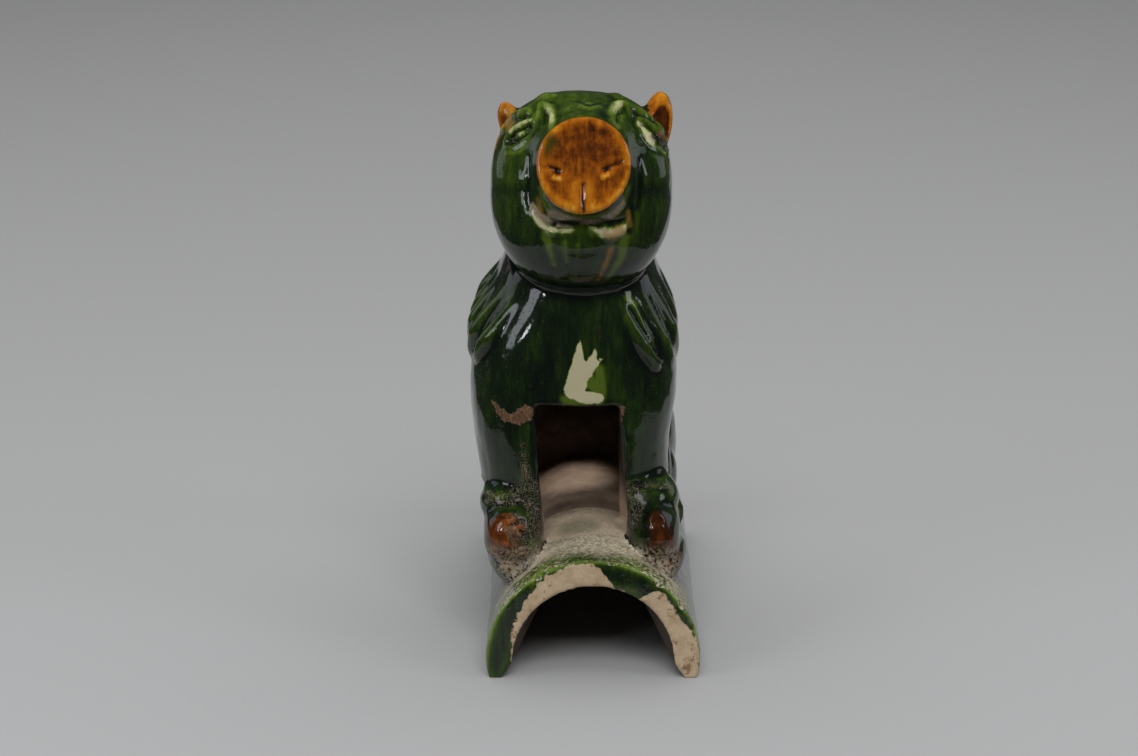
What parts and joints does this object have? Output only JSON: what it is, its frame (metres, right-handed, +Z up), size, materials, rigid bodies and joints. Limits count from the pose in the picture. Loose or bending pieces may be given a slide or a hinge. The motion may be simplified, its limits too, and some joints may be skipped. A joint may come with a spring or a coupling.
{
  "type": "ridge beast ornament",
  "caption": "Glazed roof-ridge tile with a seated pig-headed beast, small wings at its shoulders, hollow body open between the legs; the half-round tile straddles a roof ridge.",
  "frame": {"origin": "on the ground, under the middle of the bounding box of the whole piece", "axes": "+Z up; the beast faces -Y, along the tile; +X is the viewer's right"},
  "size_m": [0.1336, 0.25, 0.3227],
  "materials": {
    "lead_glazed_earthenware": "glossy copper-green lead glaze with runs, amber on the snout, ears and hooves, over buff-pink earthenware left bare inside and on the tile's ends"
  },
  "bodies": {
    "root": {"ridge_beast": "lead_glazed_earthenware"}
  },
  "joints": []
}
